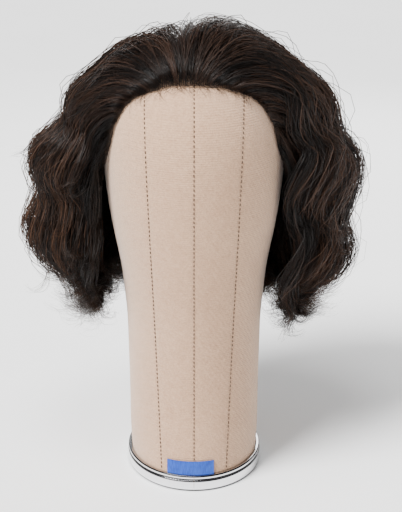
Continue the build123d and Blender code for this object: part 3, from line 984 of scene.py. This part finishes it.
def grow_strands(locks, lock_roots, roots, rng):
    """Strands around their nearest lock's middle line, (strands, STRAND_POINTS, 3), and their tones."""
    nearest = nearest_locks(roots, lock_roots)
    guide = locks[nearest]
    count = len(roots)
    across, outward = cross_axes(guide)
    run = np.linalg.norm(np.diff(guide, axis=1), axis=2).cumsum(1)
    run = np.concatenate([np.zeros((count, 1)), run], axis=1)
    t = run / run[:, -1:]
    # a lock is a flat bundle, drawn together at its root and, less so, at its tip
    frizz = rng.uniform(0.25, 1.25, len(locks))[nearest][:, None]
    spread = smooth_step(run, 0.0, 0.06) * (1 - (1 - 0.5 * frizz) * smooth_step(t, 0.45, 1.0))
    wide, thick = rng.normal(0, LOCK_WIDE, (count, 1)), rng.normal(0, LOCK_THICK, (count, 1))
    behind = smooth_step(roots[:, 1:2], -0.01, 0.03) * smooth_step(roots[:, 2:3], 0.28, 0.33)
    wide = wide * (1 + BACK_WIDER * behind)
    offset = across * (wide * spread)[..., None] + outward * (thick * spread)[..., None]
    keep_root = np.exp(-((run / ROOT_HOLD) ** 2))
    offset = offset + (roots - guide[:, 0])[:, None] * keep_root[..., None]
    strands = guide + wandered(offset, run, t, across, outward, rng)
    # strands end a little before or past each other
    cut = rng.uniform(0.82, 1.0, (count, 1))
    strands = read_at(strands, np.arange(STRAND_POINTS)[None] * cut)
    return strands, strand_tones(roots, nearest, len(locks), rng)


FREE_ROOM = (8 * MM, 6 * MM, 4 * MM)  # past the CAD box, where strands go as they like
MORE_ROOM = 8 * MM  # the most that they stray past that


def within_reach(points):
    """The points, drawn in softly where they would stray too far from the CAD's own outline."""
    low, high = np.array(CAD_BOX)
    for k, room in enumerate(FREE_ROOM):
        for edge, sign in ((low[k] - room, -1), (high[k] + room, 1)):
            over = np.maximum((points[..., k] - edge) * sign, 0)
            points[..., k] -= sign * (over - MORE_ROOM * np.tanh(over / MORE_ROOM))
    return points


def tubes(name, strands, tones, radius, rng):
    """Three-sided tubes that taper to the tip, with a UV map for tone across and length along."""
    count, points = strands.shape[:2]
    along = unit(np.gradient(strands, axis=1))
    side = unit(np.cross(along, unit(strands - HEART) + 1e-4))
    up = np.cross(side, along)
    t = np.linspace(0, 1, points)
    taper = np.minimum(1.0, 0.45 + 4 * t) * (1 - 0.85 * smooth_step(t, 0.55, 1.0))
    thick = radius * rng.uniform(0.75, 1.2, (count, 1)) * taper[None]
    ring = []
    for k in range(3):
        a = TAU * k / 3
        ring.append(strands + (side * math.cos(a) + up * math.sin(a)) * thick[..., None])
    co = np.stack(ring, axis=2).reshape(-1, 3)
    base = (np.arange(count) * points * 3)[:, None, None] + (np.arange(points - 1) * 3)[None, :, None]
    k = np.arange(3)[None, None]
    after = (k + 1) % 3
    quads = np.stack([base + k, base + after, base + after + 3, base + k + 3], axis=-1).reshape(-1, 4)
    first = np.arange(count)[:, None] * points * 3
    ends = np.concatenate([first + [[0, 2, 1]], first + (points - 1) * 3 + [[0, 1, 2]]])
    mesh = bpy.data.meshes.new(name)
    loops = np.concatenate([quads.ravel(), ends.ravel()])
    sizes = np.concatenate([np.full(len(quads), 4), np.full(len(ends), 3)])
    mesh.vertices.add(len(co))
    mesh.vertices.foreach_set("co", co.astype(np.float32).ravel())
    mesh.loops.add(len(loops))
    mesh.loops.foreach_set("vertex_index", loops.astype(np.int32))
    mesh.polygons.add(len(sizes))
    mesh.polygons.foreach_set("loop_start", np.concatenate([[0], np.cumsum(sizes)[:-1]]).astype(np.int32))
    mesh.polygons.foreach_set("use_smooth", np.ones(len(sizes), bool))
    tone = (np.floor(tones * TONES) + 0.5) / TONES
    u = np.repeat(tone, points * 3) + np.tile(np.array([-0.25, 0.0, 0.25]) / TONES, count * points)
    v = np.tile(np.repeat(0.01 + 0.98 * t, 3), count)
    uv = np.stack([u, v], axis=1)[loops]
    layer = mesh.uv_layers.new(name="OFBake")
    layer.data.foreach_set("uv", uv.astype(np.float32).ravel())
    mesh.update(calc_edges=True)
    mesh.validate()
    obj = bpy.data.objects.new(name, mesh)
    bpy.context.scene.collection.objects.link(obj)
    return obj


LOCKS = 1100
STRANDS = 16500
STRAND_RADIUS = 0.28 * MM
STRAND_GAP = 0.9 * MM  # from a strand's middle to the block or the cap
HAIR_ROOT = (0.0070, 0.0042, 0.0031)
HAIR_BODY = (0.0110, 0.0064, 0.0044)
HAIR_TIP = (0.0165, 0.0092, 0.0056)
BABY_HAIRS, BABY_POINTS, BABY_RADIUS = 170, 10, 0.12 * MM
BABY_STEPS, BABY_LIFTS = (0.7, 1.9), (0.3, 2.2)  # millimetres
MOST_IN_PIECE = 950  # strands, so that each piece stays under 200,000 triangles
REGIONS = ["top_left", "top_right", "side_left", "side_right", "back_upper", "back_middle", "nape"]
BACK_Y = 30 * MM
SIDES_TOP, BACK_TOP, MIDDLE_TOP, NAPE_TOP = 335 * MM, 352 * MM, 300 * MM, 248 * MM


def region_of(roots):
    """Which of REGIONS each root belongs to."""
    x, y, z = roots.T
    back = y >= BACK_Y
    index = np.where(x < PARTING_X, 0, 1)
    index = np.where(~back & (z < SIDES_TOP), np.where(x < 0, 2, 3), index)
    for number, top in ((4, BACK_TOP), (5, MIDDLE_TOP), (6, NAPE_TOP)):
        index = np.where(back & (z < top), number, index)
    return index


def baby_hairs(space, roots, rng):
    """Short fine hairs that stray from the hairline over the canvas."""
    count = len(roots)
    side = np.sign(roots[:, :1]) * rng.normal(0.5, 0.8, (count, 1))
    way = unit(np.concatenate([side, 0 * side, rng.normal(-0.55, 0.5, (count, 1))], axis=1))
    bend = rng.normal(0, 0.16, (count, 1))
    step = rng.uniform(*BABY_STEPS, (count, 1)) * MM
    lift = rng.uniform(*BABY_LIFTS, (count, 1)) * MM
    place = roots.copy()
    line = [place]
    for k in range(BABY_POINTS - 1):
        outward = unit(place - HEART)
        way = unit(way - outward * (way * outward).sum(1, keepdims=True) + bend * np.cross(outward, way))
        place = place + way * step
        surface = space.read(space.block, unit(place - HEART))[:, None]
        place = HEART + unit(place - HEART) * (surface + 1.0 * MM + lift * (k + 1) / BABY_POINTS)
        line.append(place)
    return np.stack(line, axis=1)


def build_hair():
    rng = np.random.default_rng(11)
    space = Space()
    shell = [n for n in CAP_NODES if not n.startswith("ear_tab")]
    lock_roots = scalp_points(LOCKS, rng, shell)
    locks = grow_locks(space, lock_roots, rng)
    count = STRANDS
    roots = scalp_points(count, rng, shell)
    strands, tones = grow_strands(locks, lock_roots, roots, rng)
    strands = within_reach(space.pushed_out(strands, STRAND_GAP))
    material = hair_material("brown_hair", HAIR_ROOT, HAIR_BODY, HAIR_TIP)
    region = region_of(roots)
    for i, name in enumerate(REGIONS):
        here = np.flatnonzero(region == i)
        parts = math.ceil(len(here) / MOST_IN_PIECE)
        for k in range(parts):
            some = here[k::parts]  # from all over the region
            piece = tubes(f"strands_{name}_{k + 1}", strands[some], tones[some], STRAND_RADIUS, rng)
            finish_piece(piece, "wig", material, [f"hair_{name}"])
    edge = scalp_points(40 * BABY_HAIRS, rng, ["lace_front"])
    edge = edge[(hairline_height(edge) < 2.5 * MM) & (edge[:, 2] > 0.30)][:BABY_HAIRS]
    wisps = tubes("baby_hairs", baby_hairs(space, edge, rng), rng.random(len(edge)), BABY_RADIUS, rng)
    finish_piece(wisps, "wig", material)


# -------------------------------- the nodes that keep their CAD shape
def dress(node, material):
    """The CAD node keeps its shape and takes this material."""
    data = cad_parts[node].data
    data.materials.clear()
    data.materials.append(material)


def dress_nodes():
    # the heights are where the painted shadow lines lie along the band's and the bead's edges
    dress("trim_band", chrome_material("chrome_band", (0.80, 0.80, 0.82), (0.0012, 0.0098)))
    dress("trim_bead", chrome_material("chrome_bead", (0.84, 0.84, 0.86), (0.0115, 0.0141)))
    dress("blank_tag", satin_material())
    dress("block_filling", filling_material())
    dress("centre_post", wood_material("beech", (0.36, 0.22, 0.12), (0.58, 0.40, 0.25), (1.0, 1.0, 0.06)))
    dress("base_plate", wood_material("plywood", (0.30, 0.19, 0.11), (0.52, 0.36, 0.22), (0.06, 1.0, 1.0)))
    dress("socket_sleeve", steel_material("zinc_sleeve", (0.62, 0.62, 0.63), 0.3))
    dress("base_screws", steel_material("zinc_screws", (0.55, 0.55, 0.56), 0.28))
    dress("cover_tacks", steel_material("blued_tacks", (0.30, 0.30, 0.33), 0.3))
    # painted shade: the ear tabs' velvet and the tab stays are coloured near black for the shadow they lie
    # in under the hair
    velvet = cloth_material("ear_velvet", (0.004, 0.003, 0.0025), (0.011, 0.008, 0.0065), 0.0008, sheen=0.0)
    ribbon = cloth_material("ribbon", (0.012, 0.009, 0.008), (0.045, 0.035, 0.03), 0.0007)
    stay = cloth_material("stay_sleeve", (0.003, 0.0025, 0.0022), (0.008, 0.0065, 0.006), 0.0006, sheen=0.0)
    for side in ("left", "right"):
        dress(f"ear_tab_{side}", velvet)
        dress(f"tab_stay_{side}", stay)
        dress(f"adjuster_{side}", plastic_material())
    dress("edge_ribbon", ribbon)
    dress("nape_elastic", cloth_material("elastic", (0.010, 0.009, 0.009), (0.035, 0.03, 0.03), 0.0009))
    track = cloth_material("weft_track", (0.02, 0.012, 0.009), (0.06, 0.038, 0.028), 0.0005)
    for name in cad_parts:
        if name.startswith("weft_row"):
            dress(name, track)


build_camera()
build_studio()
BLOCK_TREE = tree_of(CANVAS_NODES)
build_cover(BLOCK_TREE)
build_stitches(BLOCK_TREE, np.random.default_rng(5))
build_nets()
build_hair()
dress_nodes()
